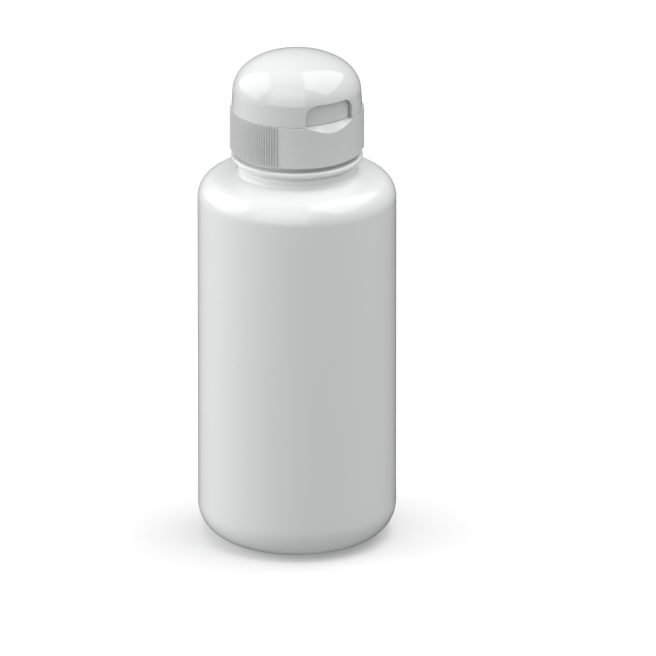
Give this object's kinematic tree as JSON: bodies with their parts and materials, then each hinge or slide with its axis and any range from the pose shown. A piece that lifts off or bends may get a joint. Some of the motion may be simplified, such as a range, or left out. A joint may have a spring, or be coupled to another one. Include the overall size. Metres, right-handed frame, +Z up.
{
  "type": "flip-top drinking bottle",
  "caption": "Tall round white bottle with a neck bead, a ribbed screw closure and a domed flip-up lid with a thumb notch over a valved spout.",
  "frame": {"origin": "centre of the bottle's foot, on the surface it stands on", "axes": "+Z up along the bottle's axis; the thumb notch faces -Y and the lid's hinge is at +Y, with its pin along X"},
  "size_m": [0.088, 0.088, 0.2243],
  "materials": {
    "bottle_plastic": "glossy opaque white blow-moulded polyethylene",
    "closure_plastic": "satin opaque white moulded polypropylene",
    "lid_plastic": "polished opaque white moulded polypropylene",
    "silicone": "translucent white silicone rubber",
    "pin_steel": "drawn stainless wire"
  },
  "bodies": {
    "bottle": {"bottle": "bottle_plastic"},
    "gasket": {"neck_gasket": "silicone"},
    "closure": {"closure": "closure_plastic", "mouthpiece": "silicone", "slit_valve": "silicone", "valve_retainer": "closure_plastic", "hinge_pin": "pin_steel"},
    "lid": {"lid": "lid_plastic", "lid_seal": "silicone"}
  },
  "joints": [
    {"name": "closure_rise", "type": "slide", "parent": "bottle", "child": "gasket", "axis": [0, 0, 1], "range_m": [0, 0.00675]},
    {"name": "closure_turn", "type": "hinge", "parent": "gasket", "child": "closure", "pos_m": [0, 0, 0.19], "axis": [0, 0, 1], "range_deg": [0, 540]},
    {"name": "lid_flip", "type": "hinge", "parent": "closure", "child": "lid", "pos_m": [0, 0.0312, 0.20041], "axis": [-1, 0, 0], "range_deg": [0, 135]}
  ],
  "couplings": [
    {"joint": "closure_rise", "follows": "closure_turn", "m_per_rad": 0.0007162}
  ]
}
